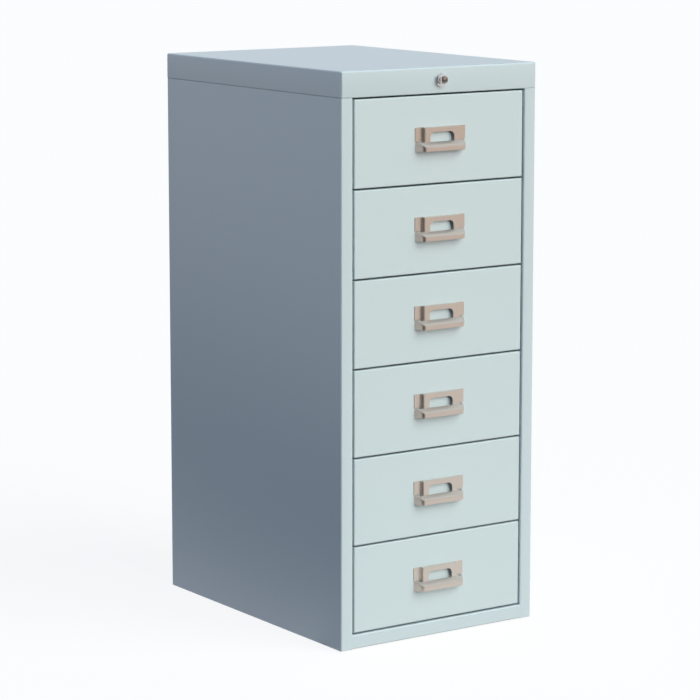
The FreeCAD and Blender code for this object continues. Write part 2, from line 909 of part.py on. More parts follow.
def drawer_tray(name):
    """The tray: floor and sides folded from one sheet, with half-round beads rolled into the side lips."""
    body = add_body(name)
    thin = d.sheet
    low = d.tray_lift
    offset = d.track_gap / 2
    inner = root(groove * groove - offset * offset)
    outer = root((groove + thin) * (groove + thin) - (offset + thin) * (offset + thin))

    def section(sketch):
        add_outline(sketch, [
            (-tray_half, low), (tray_half, low), (tray_half, lip_top), (tray_half - thin, lip_top),
            (tray_half - thin, low + thin), (thin - tray_half, low + thin), (thin - tray_half, lip_top),
            (-tray_half, lip_top),
        ])

    folded = pad(body, name + "_section", "XZ_Plane", pan_back, tray_back, section)
    outside = [(side * tray_half, low) for side in (-1, 1)]
    inside = [(side * (tray_half - thin), low + thin) for side in (-1, 1)]
    bends = fillet(body, name + "_bends", edges_along(folded, "Y", outside), d.tray_bend)
    fillet(body, name + "_inner_bends", edges_along(bends, "Y", inside), d.tray_bend - thin)

    def lip(side):
        def draw(sketch):
            add_outline(sketch, [
                (side * tray_half, lip_top), (side * tray_half, lip_under),
                (side * (track - inner), lip_under, groove, side),
                (side * (track + inner), lip_under),
                (side * front_half, lip_under), (side * front_half, lip_top),
                (side * (track + outer), lip_top, groove + thin, -side),
                (side * (track - outer), lip_top),
            ])
        return draw

    def tab(side):
        def draw(sketch):
            add_rectangle(sketch, side * (track - d.cage_half), ball_level - d.stop_rise,
                          side * (track + d.cage_half), lip_under)
        return draw

    for side, hand in ((-1, "_left"), (1, "_right")):
        pad(body, name + "_lip" + hand, "XZ_Plane", pan_back, tray_back, lip(side))
        pad(body, name + "_stop" + hand, "XZ_Plane", tray_back - thin, tray_back, tab(side))
    return body


def drawer_ends(name):
    """The tray's front and rear walls, plates with rounded foot corners, welded in between its sides."""
    body = add_body(name)
    foot = d.tray_lift + d.sheet
    half = tray_half - d.sheet

    def plate(top):
        def draw(sketch):
            add_rectangle(sketch, -half, foot, half, top)
        return draw

    pad(body, name + "_front", "XZ_Plane", pan_back, pan_back + d.sheet, plate(lip_top))
    rear_top = lip_top - d.tray_rear_drop
    walls = pad(body, name + "_rear", "XZ_Plane", tray_back - d.sheet, tray_back, plate(rear_top))
    corners = edges_along(walls, "Y", [(-half, foot), (half, foot)])
    fillet(body, name + "_foot_corners", corners, d.tray_bend)
    return body


def drawer_pull(name):
    """The pull, pressed from one sheet: two flat ears, a raised frame round the label window, and below it a
    hood that is open underneath for the fingers. Lugs behind the ears pass through the front and turn up."""
    body = add_body(name)
    middle = front_height / 2 + d.pull_rise
    thin = d.pull_sheet
    frame_front = face - d.frame_stand
    hood_front = face - d.pull_reach
    hood_top = middle - d.hood_drop
    hood_low = hood_top - d.hood_depth
    plate_top = middle + d.plate_top
    plate_low = middle - d.plate_drop

    def profile(sketch):
        add_outline(sketch, [
            (face, hood_low), (hood_front, hood_low), (hood_front, hood_top - d.hood_fall), (face, hood_top),
        ])

    solid = pad(body, name + "_hood", "YZ_Plane", -d.hood_half, d.hood_half, profile)
    corners = [(side * d.hood_half, hood_front) for side in (-1, 1)]
    rounded = fillet(body, name + "_hood_corners", edges_along(solid, "Z", corners), d.hood_corner)
    brow = [(hood_front, hood_top - d.hood_fall)]
    full = fillet(body, name + "_hood_brow", edges_along(rounded, "X", brow), d.hood_edge)
    shell(body, name + "_hood_shell", faces_level(full, "Y", face) + faces_level(full, "Z", hood_low), thin)

    def plate(sketch):
        add_rectangle(sketch, -d.plate_half, plate_low, d.plate_half, plate_top)

    def frame(sketch):
        foot = hood_top - d.hood_fall * d.frame_stand / d.pull_reach
        add_rectangle(sketch, -d.frame_half, foot, d.frame_half, plate_top)

    flat = pad(body, name + "_plate", "XZ_Plane", face - thin, face, plate)
    ears = [(side * d.plate_half, level) for side in (-1, 1) for level in (plate_low, plate_top)]
    fillet(body, name + "_ears", edges_along(flat, "Y", ears), d.plate_corner)
    raised = pad(body, name + "_frame", "XZ_Plane", frame_front, face - thin, frame)
    upright = [(side * d.frame_half, frame_front) for side in (-1, 1)]
    bends = edges_along(raised, "Z", upright) + edges_along(raised, "X", [(frame_front, plate_top)])
    fillet(body, name + "_frame_bends", bends, d.frame_bend)

    def behind(sketch):
        add_rectangle(sketch, thin - d.frame_half, hood_top, d.frame_half - thin, plate_top - thin)

    def window(sketch):
        top = plate_top - d.window_band
        bend = d.window_corner
        straight = d.window_half - bend
        add_outline(sketch, [
            (-d.window_half, hood_top), (d.window_half, hood_top), (d.window_half, top - bend, bend, -1),
            (straight, top), (-straight, top, bend, -1), (-d.window_half, top - bend),
        ])

    pocket(body, name + "_behind", "XZ_Plane", frame_front + thin, face, behind)
    pocket(body, name + "_window", "XZ_Plane", frame_front, frame_front + thin, window)

    def lugs(low, high):
        def draw(sketch):
            for side in (-1, 1):
                place = side * d.lug_place
                add_rectangle(sketch, place - d.lug_half, low, place + d.lug_half, high)
        return draw

    lug_low = middle + d.lug_rise - thin / 2
    behind_skin = face + d.sheet
    pad(body, name + "_lugs", "XZ_Plane", face, behind_skin + thin, lugs(lug_low, lug_low + thin))
    pad(body, name + "_turned_lugs", "XZ_Plane", behind_skin, behind_skin + thin,
        lugs(lug_low, lug_low + d.lug_turn))
    return body


def drawer_catch(name):
    """The catch on the back of a tray: a foot on the wall, an arm and a tip turned down."""
    body = add_body(name)
    thin = d.catch_sheet
    level = d.catch_rise

    def section(sketch):
        add_outline(sketch, [
            (tray_back, level + d.catch_foot), (tray_back, level),
            (catch_tip_front, level), (catch_tip_front, level - d.catch_tip),
            (catch_back, level - d.catch_tip), (catch_back, level + thin),
            (tray_back + thin, level + thin), (tray_back + thin, level + d.catch_foot),
        ])

    pad(body, name + "_strip", "YZ_Plane", -d.catch_half, d.catch_half, section)
    return body


def ball_places():
    """Where the balls of one drawer lie when it is shut, as (across, along)."""
    middle = (runner_front + tray_back) / 2
    count = int(d.balls_in_cage.value)
    shifts = [index - (count - 1) / 2 for index in range(count)]
    return [(side * track, middle + d.ball_pitch * shift) for side in (-1, 1) for shift in shifts]


def ball_cages(name):
    """The two flat cages that space the balls of one drawer."""
    body = add_body(name)
    middle = (runner_front + tray_back) / 2
    low = ball_level - d.cage_sheet / 2

    def strips(sketch):
        for side in (-1, 1):
            add_rectangle(sketch, side * track - d.cage_half, middle - d.cage_length / 2,
                          side * track + d.cage_half, middle + d.cage_length / 2)
        for across, along in ball_places():
            add_circle(sketch, across, along, d.ball_radius + d.cage_hole_play)

    pad(body, name + "_strips", "XY_Plane", low, low + d.cage_sheet, strips)
    return body


def balls(name):
    """The steel balls of one drawer, eight loose solids in one group."""
    group = document.addObject("Part::Compound", name)
    group.Label = name
    spheres = []
    for across, along in ball_places():
        ball = document.addObject("Part::Sphere", "%s_%d" % (name, len(spheres) + 1))
        bind(ball, "Radius", d.ball_radius)
        bind(ball, ".Placement.Base.x", across)
        bind(ball, ".Placement.Base.y", along)
        bind(ball, ".Placement.Base.z", ball_level)
        spheres.append(ball)
    group.Links = spheres
    return group


sub_parts = [
    side_panel("side_left", -1),
    side_panel("side_right", 1),
    back_panel(),
    base_pan(),
    foot_glides(),
    top_cap(),
    lock_rail(),
    lock_housing(),
    lock_nut(),
    lock_plug(),
    lock_rod(),
    lock_cam(),
    rod_bearing(),
    lock_bar(),
    bar_guides(),
    runners("runners_left", -1),
    runners("runners_right", 1),
    rear_buffers(),
]
for place in range(int(d.drawers.value)):
    label = "drawer_%d" % (place + 1)
    pieces = [
        drawer_front(label + "_front"),
        drawer_tray(label + "_tray"),
        drawer_ends(label + "_ends"),
        drawer_pull(label + "_pull"),
        drawer_catch(label + "_catch"),
        ball_cages(label + "_ball_cages"),
        balls(label + "_balls"),
    ]
    for piece in pieces:
        set_on_drawer(piece, place)
    sub_parts += pieces

document.recompute()

# Nothing is written unless every object is sound and every cut has removed something
for item in document.Objects:
    if "Invalid" in item.State or "Error" in item.State:
        raise RuntimeError("%s has failed: %s" % (item.Name, item.State))
    if item.TypeId == "PartDesign::Pocket":
        if not item.Shape.Volume < item.BaseFeature.Shape.Volume:
            raise RuntimeError("%s cuts nothing" % item.Name)
for piece in sub_parts:
    if piece.Shape.isNull() or not piece.Shape.isValid():
        raise RuntimeError("%s has no sound shape" % piece.Label)
for piece in sub_parts:
    piece.Shape.exportStep("parts/%s.step" % piece.Label)
    print("%-24s %2d solids %10.1f mm3" % (piece.Label, len(piece.Shape.Solids), piece.Shape.Volume))
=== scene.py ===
"""A slim steel cabinet with six shallow drawers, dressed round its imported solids.

Lengths are in metres: +Z is up, the drawer fronts face -Y, and the origin is on the floor.
"""
import json
import math

import bmesh
import bpy
import numpy as np
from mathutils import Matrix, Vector


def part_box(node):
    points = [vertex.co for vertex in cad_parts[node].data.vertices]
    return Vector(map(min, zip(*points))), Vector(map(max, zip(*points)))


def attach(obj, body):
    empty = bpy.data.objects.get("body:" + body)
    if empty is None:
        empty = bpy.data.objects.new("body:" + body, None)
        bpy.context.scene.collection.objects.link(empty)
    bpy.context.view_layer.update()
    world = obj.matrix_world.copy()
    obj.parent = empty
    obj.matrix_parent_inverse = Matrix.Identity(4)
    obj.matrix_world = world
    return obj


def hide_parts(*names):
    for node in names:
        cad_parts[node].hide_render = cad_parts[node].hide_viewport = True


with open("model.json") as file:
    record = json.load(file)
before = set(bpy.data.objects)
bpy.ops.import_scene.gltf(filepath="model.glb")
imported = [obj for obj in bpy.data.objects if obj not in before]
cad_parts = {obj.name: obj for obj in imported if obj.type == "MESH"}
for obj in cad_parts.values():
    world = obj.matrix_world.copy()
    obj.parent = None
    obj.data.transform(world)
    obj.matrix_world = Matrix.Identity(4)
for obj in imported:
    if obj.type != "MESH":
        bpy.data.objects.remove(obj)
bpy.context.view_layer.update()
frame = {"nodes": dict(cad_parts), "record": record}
MM = 0.001


# Camera

CAMERA_PLACE = (-1.9416, -2.8207, 0.9037)
CAMERA_YAW, CAMERA_PITCH = 34.549, -9.024
SENSOR, LENS, SHIFT_UP = 36, 146.3, -0.05
NEAREST, FARTHEST = 0.05, 400


def set_camera():
    """A long lens in front of the left front edge, a little above the cabinet's top, tipped down.
    It looks along (sin yaw * cos pitch, cos yaw * cos pitch, sin pitch)."""
    yaw, pitch = math.radians(CAMERA_YAW), math.radians(CAMERA_PITCH)
    aim = Vector((math.sin(yaw) * math.cos(pitch), math.cos(yaw) * math.cos(pitch),
                  math.sin(pitch)))
    data = bpy.data.cameras.new("camera")
    data.sensor_width = SENSOR
    data.lens = LENS
    data.shift_y = SHIFT_UP
    data.clip_start, data.clip_end = NEAREST, FARTHEST
    camera = bpy.data.objects.new("camera", data)
    camera.location = CAMERA_PLACE
    camera.rotation_mode = "QUATERNION"
    camera.rotation_quaternion = aim.to_track_quat("-Z", "Y")
    bpy.context.scene.collection.objects.link(camera)
    bpy.context.scene.camera = camera


set_camera()


# Finishes

WHITE, BLACK = (1, 1, 1, 1), (0, 0, 0, 1)


class Wire:
    """One output of a finish's nodes. Sums, differences and products of wires add Math nodes."""

    def __init__(self, board, socket):
        self.board = board
        self.socket = socket

    def __add__(self, other):
        return self.board.math("ADD", self, other)

    __radd__ = __add__

    def __sub__(self, other):
        return self.board.math("SUBTRACT", self, other)

    def __rsub__(self, other):
        return self.board.math("SUBTRACT", other, self)

    def __mul__(self, other):
        return self.board.math("MULTIPLY", self, other)

    __rmul__ = __mul__


class Board:
    """The node tree of one material or of the world."""

    def __init__(self, owner):
        owner.use_nodes = True
        self.tree = owner.node_tree
        self.tree.nodes.clear()

    def node(self, kind, settings, sockets, output=0):
        """Adds a node: its settings first, then the value or wire of each socket. Gives the wire of
        one output, or the node itself where it has none."""
        made = self.tree.nodes.new("ShaderNode" + kind)
        for name, value in settings.items():
            if name == "stops":
                self.set_stops(made.color_ramp, value)
            else:
                setattr(made, name, value)
        for key, value in sockets.items():
            socket = made.inputs[key]
            if isinstance(value, Wire):
                self.tree.links.new(value.socket, socket)
            else:
                socket.default_value = value
        return Wire(self, made.outputs[output]) if made.outputs else made

    def set_stops(self, ramp, stops):
        """Each stop is a place of 0 to 1 on the ramp and its colour."""
        while len(ramp.elements) < len(stops):
            ramp.elements.new(0.5)
        for element, (place, colour) in zip(ramp.elements, stops):
            element.position = place
            element.color = colour

    def math(self, operation, left, right):
        return self.node("Math", {"operation": operation}, {0: left, 1: right})

    def blend(self, share, first, second):
        """The first shader where the share is 0, and the second where it is 1."""
        return self.node("MixShader", {}, {0: share, 1: first, 2: second})

    def mix(self, factor, first, second, blend="MIX"):
        """The first colour where the factor is 0. Where it is 1, the second colour, or the blend
        of both."""
        settings = {"data_type": "RGBA", "blend_type": blend, "clamp_factor": True}
        return self.node("Mix", settings, {0: factor, 6: first, 7: second}, 2)

    def clouded(self, colour, pattern, low, high):
        """The colour times a factor for red, green and blue that goes from low to high as the
        pattern goes from 0 to 1."""
        return self.mix(1.0, colour, self.mix(pattern, (*low, 1), (*high, 1)), "MULTIPLY")

    def place(self, scale=(1, 1, 1)):
        """The piece's own coordinates in metres, or the sky's direction, stretched along each
        axis."""
        spot = self.node("TexCoord", {}, {}, 3)
        return self.node("Mapping", {}, {"Vector": spot, "Scale": scale})

    def noise(self, spot, scale, detail=2.0, roughness=0.5):
        """Noise of 0 to 1, with as many lumps to the metre as the scale says."""
        return self.node("TexNoise", {}, {"Vector": spot, "Scale": scale, "Detail": detail,
                                          "Roughness": roughness})

    def bump(self, height, distance, strength, normal=None):
        """Relief of the distance in metres where the height goes from 0 to 1."""
        sockets = {"Height": height, "Distance": distance, "Strength": strength}
        if normal is not None:
            sockets["Normal"] = normal
        return self.node("Bump", {}, sockets)


def linear(red, green, blue):
    """An sRGB colour of 0 to 255 as linear values with an alpha of 1: c / 12.92 for a dark share c,
    and ((c + 0.055) / 1.055) to the power of 2.4 for the rest."""
    share = np.array([red, green, blue]) / 255
    value = np.where(share <= 0.04045, share / 12.92, ((share + 0.055) / 1.055) ** 2.4)
    return (*value.tolist(), 1.0)


def new_finish(name):
    """The board of a new material, and the first material of this name. For the floor they are the
    same. The frame brings a plain material for each slot of the record, and that one is then the
    first, so the pieces show the plain one, and what is drawn on the board isn't seen. This is a
    known fault. It stays because the lights were set for the plain ones."""
    return Board(bpy.data.materials.new(name)), bpy.data.materials[name]


def close_finish(board, sockets):
    """The shader of a finish, with its values and wires, and the output."""
    shader = board.node("BsdfPrincipled", {}, sockets)
    board.node("OutputMaterial", {}, {"Surface": shader})


def powder_coat(name, colour):
    """Baked powder coat: a fine orange peel, a slow drift of tone, faint darker specks and a satin
    gloss that varies a little."""
    board, finish = new_finish(name)
    spot = board.place()
    peel = board.noise(spot, 520.0, roughness=0.45)
    grain = board.noise(spot, 2400.0, detail=1.0)
    drift = board.noise(spot, 7.0)
    paint = board.clouded(colour, drift, (0.985, 0.985, 0.99), (1.015, 1.015, 1.01))
    speck = board.node("ValToRGB", {"stops": [(0.70, BLACK), (0.78, WHITE)]},
                       {"Fac": board.noise(spot, 900.0, detail=0.0)})
    darker = (*(0.82 * value for value in colour[:3]), 1)
    paint = board.mix(speck * 0.05, paint, darker)
    soft = board.bump(peel, 0.05 * MM, strength=0.5)
    normal = board.bump(grain, 0.012 * MM, strength=0.6, normal=soft)
    close_finish(board, {"Base Color": paint, "Roughness": 0.38 + drift * 0.05 + grain * 0.05,
                         "IOR": 1.48, "Specular IOR Level": 0.4, "Normal": normal})
    return finish


def satin_nickel(name, colour):
    """Warm satin nickel over pressed steel: fine lines along the width, clouded here and there."""
    board, finish = new_finish(name)
    lines = board.noise(board.place((60, 2600, 2600)), 1.0, detail=3.0, roughness=0.6)
    cloud = board.noise(board.place(), 160.0, detail=3.0)
    metal = board.clouded(colour, cloud, (0.90, 0.88, 0.86), (1.06, 1.05, 1.04))
    close_finish(board, {"Base Color": metal, "Metallic": 1.0,
                         "Roughness": 0.24 + lines * 0.10 + cloud * 0.08,
                         "Normal": board.bump(lines, 0.006 * MM, strength=0.5)})
    return finish


def bright_chrome(name, colour):
    """Polished chrome with faint wipe marks."""
    board, finish = new_finish(name)
    marks = board.noise(board.place(), 400.0, detail=4.0, roughness=0.6)
    metal = board.clouded(colour, marks, (0.95, 0.95, 0.95), (1, 1, 1))
    close_finish(board, {"Base Color": metal, "Metallic": 1.0,
                         "Roughness": 0.06 + marks * 0.08,
                         "Normal": board.bump(marks, 0.004 * MM, strength=0.4)})
    return finish


def zinc_plate(name, colour):
    """Bright zinc on cold-rolled strip: cloudy spangle and rolling lines along the depth."""
    board, finish = new_finish(name)
    spangle = board.noise(board.place(), 260.0, detail=4.0, roughness=0.7)
    lines = board.noise(board.place((1800, 30, 1800)), 1.0)
    metal = board.clouded(colour, spangle, (0.84, 0.85, 0.88), (1.08, 1.07, 1.03))
    close_finish(board, {"Base Color": metal, "Metallic": 1.0,
                         "Roughness": 0.26 + spangle * 0.14 + lines * 0.06,
                         "Normal": board.bump(lines, 0.008 * MM, strength=0.5)})
    return finish


def polished_steel(name, colour):
    """Hard steel balls with a thin film of grease."""
    board, finish = new_finish(name)
    film = board.noise(board.place(), 700.0)
    metal = board.clouded(colour, film, (0.93, 0.93, 0.92), (1, 1, 1))
    close_finish(board, {"Base Color": metal, "Metallic": 1.0,
                         "Roughness": 0.08 + film * 0.14})
    return finish


def moulded(name, colour, dullness, grain_size, depth):
    """Moulded plastic or rubber with a spark-eroded grain of the given size and depth."""
    board, finish = new_finish(name)
    grain = board.noise(board.place(), 1 / grain_size, detail=3.0, roughness=0.6)
    plastic = board.clouded(colour, grain, (0.85, 0.85, 0.85), (1.15, 1.15, 1.15))
    close_finish(board, {"Base Color": plastic, "Roughness": dullness + grain * 0.15,
                         "Normal": board.bump(grain, depth, strength=0.6)})
    return finish


# Each finish, its maker and its sRGB colour, and for moulded pieces dullness, grain size and depth.
# The pieces don't show them, as new_finish says.
FINISHES = [
    # cabinet_paint and front_paint are one powder coat. cabinet_paint is painted lighter: painted
    # light standing in for the brighter light and reflection that the cap catches.
    ("cabinet_paint", powder_coat, (203, 215, 217)),
    ("front_paint", powder_coat, (187, 201, 202)),
    ("pull_nickel", satin_nickel, (199, 200, 200)),
    ("lock_chrome", bright_chrome, (225, 225, 226)),
    ("zinc_steel", zinc_plate, (196, 198, 200)),
    ("ball_steel", polished_steel, (218, 218, 220)),
    ("black_plastic", moulded, (38, 38, 40), 0.42, 0.6 * MM, 0.03 * MM),
    ("buffer_rubber", moulded, (34, 34, 34), 0.62, 0.9 * MM, 0.04 * MM),
]
finishes = {name: make(name, linear(*colour), *grain) for name, make, colour, *grain in FINISHES}


# Surfaces

CORNER_STEPS, ROUND_STEPS = 6, 64
# Points closer than the first are one, and edges shorter than the second go.
SAME_POINT, NO_LENGTH = 0.002 * MM, 0.0001 * MM
CREASE = math.radians(32)
LEAST_CORNER = 0.3 * MM
# The narrow flat ring beside a bend, which keeps the bend's shading off the flat face.
FLAT_RING = 0.3 * MM
LEVEL_AXES, UPRIGHT_AXES = (0, 1), (0, 2)


def arc(centre, radius, start, stop, steps=CORNER_STEPS):
    """Points centre + radius * (cos a, sin a), with a going from start to stop degrees in equal
    steps."""
    turn = np.radians(np.linspace(start, stop, steps + 1))
    return np.stack([centre[0] + radius * np.cos(turn), centre[1] + radius * np.sin(turn)], axis=1)


def circle():
    """Points (cos a, sin a), with a going once round in equal steps."""
    turn = np.linspace(0, 2 * math.pi, ROUND_STEPS, endpoint=False)
    return np.stack([np.cos(turn), np.sin(turn)], axis=1)


def rounded_ring(half_across, half_up, radius):
    """A rectangle about the origin whose corners are quarter circles of the radius. It goes
    anticlockwise."""
    turns = [(1, 1, 0), (-1, 1, 90), (-1, -1, 180), (1, -1, 270)]
    return np.concatenate([
        arc((a * (half_across - radius), b * (half_up - radius)), radius, start, start + 90)
        for a, b, start in turns
    ])


def bent_path(corners, radius):
    """A path of straight runs whose corners are replaced by arcs of the radius: each arc touches
    both runs radius * tan(half the turn) from the corner. Gives the points and the normals that
    point to the right of the way along it."""
    corners = np.asarray(corners, float)
    ways = np.diff(corners, axis=0)
    ways /= np.linalg.norm(ways, axis=1)[:, None]
    points, headings = [corners[:1]], [ways[:1]]
    for corner, before, after in zip(corners[1:-1], ways[:-1], ways[1:]):
        bend = math.atan2(before[0] * after[1] - before[1] * after[0], before @ after)
        reach = radius * math.tan(abs(bend) / 2)
        turn = np.linspace(0, bend, CORNER_STEPS + 1)
        heading = np.stack([before[0] * np.cos(turn) - before[1] * np.sin(turn),
                            before[0] * np.sin(turn) + before[1] * np.cos(turn)], axis=1)
        side = math.copysign(1, bend)
        centre = corner - before * reach + side * radius * np.array([-before[1], before[0]])
        outward = np.stack([heading[:, 1], -heading[:, 0]], axis=1)
        points.append(centre + side * radius * outward)
        headings.append(heading)
    points.append(corners[-1:])
    headings.append(ways[-1:])
    heading = np.concatenate(headings)
    return np.concatenate(points), np.stack([heading[:, 1], -heading[:, 0]], axis=1)


class Skin:
    """Collects grids and flat faces of points and makes one closed mesh of them."""

    def __init__(self):
        self.points = []
        self.faces = []
        self.count = 0

    def add_points(self, points):
        """Keeps the points and gives the number of the first."""
        first = self.count
        flat = points.reshape(-1, 3)
        self.points.append(flat)
        self.count += len(flat)
        return first

    def grid(self, points, around=False):
        """A quad for each cell of a grid of rows by columns of points. around joins the last
        column to the first."""
        rows, columns = points.shape[:2]
        index = np.arange(rows * columns).reshape(rows, columns) + self.add_points(points)
        if around:
            index = np.concatenate([index, index[:, :1]], axis=1)
        cells = [index[:-1, :-1], index[:-1, 1:], index[1:, 1:], index[1:, :-1]]
        self.faces += np.stack(cells, axis=-1).reshape(-1, 4).tolist()

    def patch(self, ring):
        """One flat face inside a ring of points."""
        first = self.add_points(ring)
        self.faces.append(list(range(first, first + len(ring))))

    def closed_grid(self, rings):
        """A grid of rings, with a flat face inside the first and inside the last."""
        self.grid(rings, around=True)
        self.patch(rings[0])
        self.patch(rings[-1])

    def make(self, name, body, slot, replaced):
        """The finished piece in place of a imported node: doubles merged, faces turned outwards,
        shaded smooth but for creases."""
        mesh = bpy.data.meshes.new(name)
        mesh.from_pydata(np.concatenate(self.points).tolist(), [], self.faces)
        shape = bmesh.new()
        shape.from_mesh(mesh)
        bmesh.ops.remove_doubles(shape, verts=shape.verts, dist=SAME_POINT)
        bmesh.ops.dissolve_degenerate(shape, edges=shape.edges, dist=NO_LENGTH)
        bmesh.ops.recalc_face_normals(shape, faces=shape.faces)
        shape.to_mesh(mesh)
        shape.free()
        mesh.shade_smooth()
        mesh.set_sharp_from_angle(angle=CREASE)
        piece = bpy.data.objects.new(name, mesh)
        bpy.context.scene.collection.objects.link(piece)
        mesh.materials.append(finishes[slot])
        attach(piece, body)
        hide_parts(replaced)


def flat_coordinates(across, up, out):
    """Points on an upright face: across is X, up is Z and out is Y."""
    return np.stack(np.broadcast_arrays(across, out, up), axis=-1)


def level_coordinates(across, up, out):
    """Points on a level face: across is X, up is Y and out is Z."""
    return np.stack(np.broadcast_arrays(across, up, out), axis=-1)


def half_and_centre(low, high, axes):
    """Half the size of a box along each of the axes, and its middle."""
    return ([(high[axis] - low[axis]) / 2 for axis in axes],
            [(high[axis] + low[axis]) / 2 for axis in axes])


def add_pressing(skin, profile, half, centre, corner, coordinates):
    """A pressed pan. The profile is a list of (inset, level): at each, a rounded rectangle that
    much inside the outline, with a corner as much smaller but no less than the least. The first
    and last ring are closed by flat faces."""
    rings = np.stack([
        rounded_ring(half[0] - inset, half[1] - inset, max(corner - inset, LEAST_CORNER))
        for inset, level in profile
    ])
    levels = np.array([level for inset, level in profile])[:, None]
    skin.closed_grid(coordinates(rings[..., 0] + centre[0], rings[..., 1] + centre[1], levels))


def add_sheet(skin, corners, radius, thickness, low, high, coordinates):
    """A bent sheet of one thickness: its outer face follows the path, its inner face lies to the
    right of it, and both run from low to high."""
    outer, normals = bent_path(corners, radius)
    inner = outer + thickness * normals
    loop = np.concatenate([outer, inner[::-1]])
    ends = np.array([low, high])[:, None]
    skin.grid(coordinates(loop[None, :, 0], loop[None, :, 1], ends), around=True)
    pair = np.stack([outer, inner])
    for end in (low, high):
        skin.grid(coordinates(pair[..., 0], pair[..., 1], end))


def add_block(skin, low, high):
    """A box with flat faces, for the plain strip that is turned in at the top of a side."""
    low, high = np.asarray(low), np.asarray(high)
    ring = low[:2] + np.array([[0, 0], [1, 0], [1, 1], [0, 1]]) * (high - low)[:2]
    ends = np.array([low[2], high[2]])[:, None]
    skin.closed_grid(level_coordinates(ring[:, 0], ring[:, 1], ends))


def add_turned(skin, profile, centre):
    """A turned piece about a line along Y: each (radius, y) of the closed profile goes round the
    line in a circle."""
    profile, way = np.asarray(profile), circle()
    radius, along = profile[:, :1], profile[:, 1:]
    skin.grid(flat_coordinates(centre[0] + radius * way[:, 0], centre[1] + radius * way[:, 1],
                               along), around=True)


# Carcass

SHEET, BEND = 0.9 * MM, 1.8 * MM
CAP_CORNER, CAP_EDGE, CAP_FLAT, CAP_LIP, SEAM_EDGE = 3 * MM, 2 * MM, 0.4 * MM, 12 * MM, 1.2 * MM
# How far the stile turns back, and how wide the flanges at the rear and the top are.
STILE_RETURN, REAR_FLANGE, TOP_FLANGE = 10 * MM, 15.5 * MM, 11 * MM
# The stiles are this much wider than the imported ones, and the drawer fronts as much narrower at
# each side.
STILE_MORE = 1.2 * MM

cap_low, cap_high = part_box("top_cap")


def make_cap():
    """The cap: skirt, rounded top edge and a lip turned in under it, all of one sheet. Its section
    goes from the top over the edge, down the skirt, along the lip and back inside."""
    seam, top, edge = cap_low.z, cap_high.z, cap_high.z - CAP_EDGE
    profile = [(CAP_EDGE + CAP_FLAT, top)]
    profile += arc((CAP_EDGE, edge), CAP_EDGE, 90, 180, steps=10).tolist()
    profile += arc((SEAM_EDGE, seam + SEAM_EDGE), SEAM_EDGE, 180, 270, steps=5).tolist()
    profile += [(CAP_LIP, seam), (CAP_LIP, seam + SHEET), (SHEET, seam + SHEET)]
    profile += arc((CAP_EDGE, edge), CAP_EDGE - SHEET, 180, 90).tolist()
    profile.append((CAP_EDGE + CAP_FLAT, top - SHEET))
    half, centre = half_and_centre(cap_low, cap_high, LEVEL_AXES)
    skin = Skin()
    add_pressing(skin, profile, half, centre, CAP_CORNER, level_coordinates)
    skin.make("cap_pressing", "carcass", "cabinet_paint", "top_cap")


def make_side(name, side):
    """A side folded from one sheet: the stile and its return in front, the wall, the rear flange
    and the strip turned in at the top. side is -1 for the left and 1 for the right."""
    low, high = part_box(name)
    outer = side * max(abs(low.x), abs(high.x))
    inner = side * (min(abs(low.x), abs(high.x)) - STILE_MORE)
    back = low.y + STILE_RETURN
    corners = [(inner, back), (inner, low.y), (outer, low.y), (outer, high.y),
               (outer - side * REAR_FLANGE, high.y)]
    skin = Skin()
    add_sheet(skin, corners, BEND, -side * SHEET, low.z, high.z, level_coordinates)
    strip = sorted((outer - side * TOP_FLANGE, outer - side * SHEET))
    add_block(skin, (strip[0], back, high.z - SHEET), (strip[1], high.y - BEND, high.z))
    skin.make(name + "_folded", "carcass", "cabinet_paint", name)


make_cap()
make_side("side_left", -1)
make_side("side_right", 1)


# Drawer fronts

DRAWERS = 6
FRONT_BEND, FRONT_CORNER, FRONT_LIP = 1.4 * MM, 1.0 * MM, 15 * MM


def make_front(number):
    """The front: a pan with a soft bend round its face, folded returns and a lip turned in behind.
    Its section goes from the face round the bend, along the return and the lip and back inside."""
    node = "drawer_%d_front" % number
    low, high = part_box(node)
    bend, depth = FRONT_BEND, high.y - low.y
    profile = [(bend + FLAT_RING, 0)]
    profile += arc((bend, bend), bend, 270, 180, steps=8).tolist()
    profile += arc((SHEET, depth - SHEET), SHEET, 180, 90, steps=4).tolist()
    profile += [(FRONT_LIP, depth), (FRONT_LIP, depth - SHEET), (SHEET, depth - SHEET)]
    profile += arc((bend, bend), bend - SHEET, 180, 270, steps=4).tolist()
    profile.append((bend + FLAT_RING, SHEET))
    levels = [(inset, low.y + level) for inset, level in profile]
    (half_across, half_up), centre = half_and_centre(low, high, UPRIGHT_AXES)
    skin = Skin()
    add_pressing(skin, levels, (half_across - STILE_MORE, half_up), centre, FRONT_CORNER,
                 flat_coordinates)
    skin.make("drawer_%d_panel" % number, "drawer_%d" % number, "front_paint", node)


# Pulls

PULL_SHEET = 0.8 * MM
# From the middle to the end of the ears, the frame, the hood and the window.
EAR_END, FRAME_HALF, HOOD_HALF, WINDOW_HALF = 35.7 * MM, 25.3 * MM, 29.2 * MM, 17 * MM
EAR_CORNER, EAR_SOFT, EAR_FLAT, FOOT_BEND = 1.2 * MM, 0.2 * MM, 0.44 * MM, 0.9 * MM
FRAME_STAND, FRAME_BEND, FRAME_CORNER, FRAME_INNER = 5 * MM, 1.0 * MM, 1.3 * MM, 0.25 * MM
WINDOW_BAND, WINDOW_CORNER, WINDOW_SOFT, WINDOW_FLAT = 5.8 * MM, 6 * MM, 0.15 * MM, 0.5 * MM
# Where the middle of the window's softened edge lies, as a share of its width.
SOFT_MIDDLE = 0.3
HOOD_CORNER, HOOD_BROW = 2.8 * MM, 2.0 * MM
